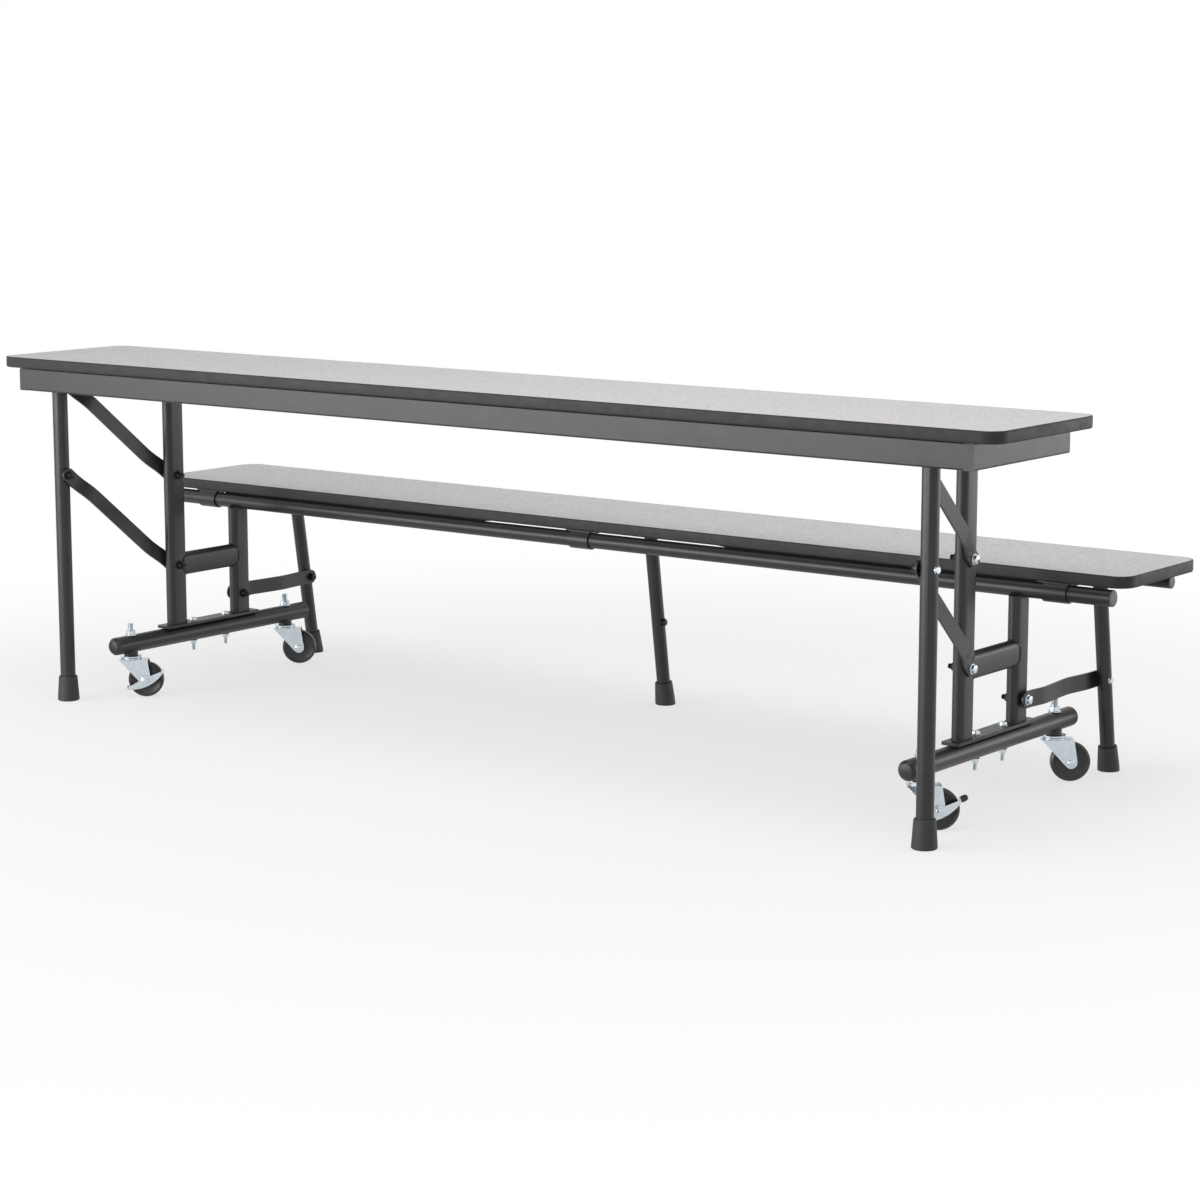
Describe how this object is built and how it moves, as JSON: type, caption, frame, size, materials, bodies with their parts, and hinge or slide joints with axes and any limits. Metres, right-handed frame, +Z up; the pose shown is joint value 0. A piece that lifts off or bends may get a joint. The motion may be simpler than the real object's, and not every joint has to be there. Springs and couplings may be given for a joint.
{
  "type": "convertible cafeteria table with bench",
  "caption": "Long mobile cafeteria table with an attached bench on caster end frames; the top tips up on parallel links to become the bench's backrest, and the bench folds up.",
  "frame": {"origin": "on the floor under the middle of the whole unit", "axes": "+X along the table, +Y from the table side to the bench side, +Z up"},
  "size_m": [2.4384, 0.7978, 0.7366],
  "materials": {
    "laminate": "light grey speckled high-pressure laminate on both faces of a particle board",
    "edge_band": "black extruded vinyl edge band, satin",
    "powder_coat": "charcoal black powder coat on steel, fine texture",
    "zinc_plate": "bright zinc-plated pressed steel",
    "foot_rubber": "black moulded rubber, matt",
    "wheel_rubber": "black moulded caster wheel, satin",
    "roller_nylon": "white nylon"
  },
  "bodies": {
    "base_frame": {"left_base_tube": "powder_coat", "right_base_tube": "powder_coat", "left_base_plate": "powder_coat", "right_base_plate": "powder_coat", "left_tall_upright": "powder_coat", "right_tall_upright": "powder_coat", "left_short_upright": "powder_coat", "right_short_upright": "powder_coat", "left_cross_rail": "powder_coat", "right_cross_rail": "powder_coat", "bench_front_tube": "powder_coat"},
    "track_rollers": {"left_track_roller": "roller_nylon", "right_track_roller": "roller_nylon"},
    "tabletop": {"tabletop_board": "laminate", "tabletop_edge_band": "edge_band", "front_apron": "powder_coat", "left_end_apron": "powder_coat", "right_end_apron": "powder_coat", "rear_rail": "powder_coat", "left_roller_track": "powder_coat", "right_roller_track": "powder_coat", "left_leg_bracket": "powder_coat", "right_leg_bracket": "powder_coat"},
    "lower_links": {"left_lower_link": "powder_coat", "right_lower_link": "powder_coat"},
    "upper_links": {"left_upper_link": "powder_coat", "right_upper_link": "powder_coat"},
    "front_legs": {"left_front_leg": "powder_coat", "right_front_leg": "powder_coat", "left_front_foot": "foot_rubber", "right_front_foot": "foot_rubber"},
    "bench": {"bench_board": "laminate", "bench_edge_band": "edge_band", "left_bench_collar": "powder_coat", "middle_bench_collar": "powder_coat", "right_bench_collar": "powder_coat", "left_tube_saddle": "powder_coat", "middle_tube_saddle": "powder_coat", "right_tube_saddle": "powder_coat"},
    "rear_legs": {"rear_tube": "powder_coat", "left_rear_leg": "powder_coat", "middle_rear_leg": "powder_coat", "right_rear_leg": "powder_coat", "left_rear_foot": "foot_rubber", "middle_rear_foot": "foot_rubber", "right_rear_foot": "foot_rubber"},
    "straps": {"left_strap": "powder_coat", "right_strap": "powder_coat"},
    "front_left_caster": {"front_left_caster_fork": "zinc_plate"},
    "front_left_wheel": {"front_left_caster_wheel": "wheel_rubber"},
    "front_left_brake": {"front_left_brake_lever": "zinc_plate"},
    "front_right_caster": {"front_right_caster_fork": "zinc_plate"},
    "front_right_wheel": {"front_right_caster_wheel": "wheel_rubber"},
    "front_right_brake": {"front_right_brake_lever": "zinc_plate"},
    "rear_left_caster": {"rear_left_caster_fork": "zinc_plate"},
    "rear_left_wheel": {"rear_left_caster_wheel": "wheel_rubber"},
    "rear_right_caster": {"rear_right_caster_fork": "zinc_plate"},
    "rear_right_wheel": {"rear_right_caster_wheel": "wheel_rubber"}
  },
  "joints": [
    {"name": "tabletop_tilt", "type": "hinge", "parent": "base_frame", "child": "track_rollers", "pos_m": [0, -0.11087, 0.6883], "axis": [-1, 0, 0], "range_deg": [0, 90]},
    {"name": "tabletop_slide", "type": "slide", "parent": "track_rollers", "child": "tabletop", "axis": [0, 1, 0], "range_m": [0, 0.1376]},
    {"name": "lower_link_swing", "type": "hinge", "parent": "base_frame", "child": "lower_links", "pos_m": [0, -0.11087, 0.271], "axis": [-1, 0, 0], "range_deg": [0, 49.37]},
    {"name": "upper_link_swing", "type": "hinge", "parent": "base_frame", "child": "upper_links", "pos_m": [0, -0.11087, 0.47], "axis": [-1, 0, 0], "range_deg": [0, 49.37]},
    {"name": "front_leg_swing", "type": "hinge", "parent": "lower_links", "child": "front_legs", "pos_m": [0, -0.36487, 0.4893], "axis": [-1, 0, 0], "range_deg": [-49.37, 0]},
    {"name": "bench_fold", "type": "hinge", "parent": "base_frame", "child": "bench", "pos_m": [0, 0.08613, 0.39022], "axis": [1, 0, 0], "range_deg": [0, 90]},
    {"name": "rear_leg_fold", "type": "hinge", "parent": "bench", "child": "rear_legs", "pos_m": [0, 0.31913, 0.39022], "axis": [1, 0, 0], "range_deg": [-74.19, 0]},
    {"name": "strap_swing", "type": "hinge", "parent": "base_frame", "child": "straps", "pos_m": [0, 0.08613, 0.183], "axis": [1, 0, 0], "range_deg": [0, 70.97]},
    {"name": "front_left_swivel", "type": "hinge", "parent": "base_frame", "child": "front_left_caster", "pos_m": [-0.9945, -0.25187, 0.1], "axis": [0, 0, 1], "continuous": true},
    {"name": "front_left_wheel_spin", "type": "hinge", "parent": "front_left_caster", "child": "front_left_wheel", "pos_m": [-0.96901, -0.23252, 0.03786], "axis": [-0.6046, 0.7965, 0], "continuous": true},
    {"name": "front_left_brake_pedal", "type": "hinge", "parent": "front_left_caster", "child": "front_left_brake", "pos_m": [-0.96901, -0.23252, 0.03786], "axis": [-0.6046, 0.7965, 0], "range_deg": [0, 12]},
    {"name": "front_right_swivel", "type": "hinge", "parent": "base_frame", "child": "front_right_caster", "pos_m": [0.9945, -0.25187, 0.1], "axis": [0, 0, 1], "continuous": true},
    {"name": "front_right_wheel_spin", "type": "hinge", "parent": "front_right_caster", "child": "front_right_wheel", "pos_m": [1.01999, -0.23252, 0.03786], "axis": [-0.6046, 0.7965, 0], "continuous": true},
    {"name": "front_right_brake_pedal", "type": "hinge", "parent": "front_right_caster", "child": "front_right_brake", "pos_m": [1.01999, -0.23252, 0.03786], "axis": [-0.6046, 0.7965, 0], "range_deg": [0, 12]},
    {"name": "rear_left_swivel", "type": "hinge", "parent": "base_frame", "child": "rear_left_caster", "pos_m": [-0.9945, 0.23363, 0.1], "axis": [0, 0, 1], "continuous": true},
    {"name": "rear_left_wheel_spin", "type": "hinge", "parent": "rear_left_caster", "child": "rear_left_wheel", "pos_m": [-0.96901, 0.25298, 0.03786], "axis": [-0.6046, 0.7965, 0], "continuous": true},
    {"name": "rear_right_swivel", "type": "hinge", "parent": "base_frame", "child": "rear_right_caster", "pos_m": [0.9945, 0.23363, 0.1], "axis": [0, 0, 1], "continuous": true},
    {"name": "rear_right_wheel_spin", "type": "hinge", "parent": "rear_right_caster", "child": "rear_right_wheel", "pos_m": [1.01999, 0.25298, 0.03786], "axis": [-0.6046, 0.7965, 0], "continuous": true}
  ],
  "couplings": [
    {"joint": "tabletop_slide", "follows": "tabletop_tilt", "m_per_rad": 0.087459},
    {"joint": "lower_link_swing", "follows": "tabletop_tilt", "ratio": 0.54803},
    {"joint": "upper_link_swing", "follows": "tabletop_tilt", "ratio": 0.54803},
    {"joint": "front_leg_swing", "follows": "tabletop_tilt", "ratio": -0.54803},
    {"joint": "rear_leg_fold", "follows": "bench_fold", "ratio": -0.82381},
    {"joint": "strap_swing", "follows": "bench_fold", "ratio": 0.78795}
  ]
}
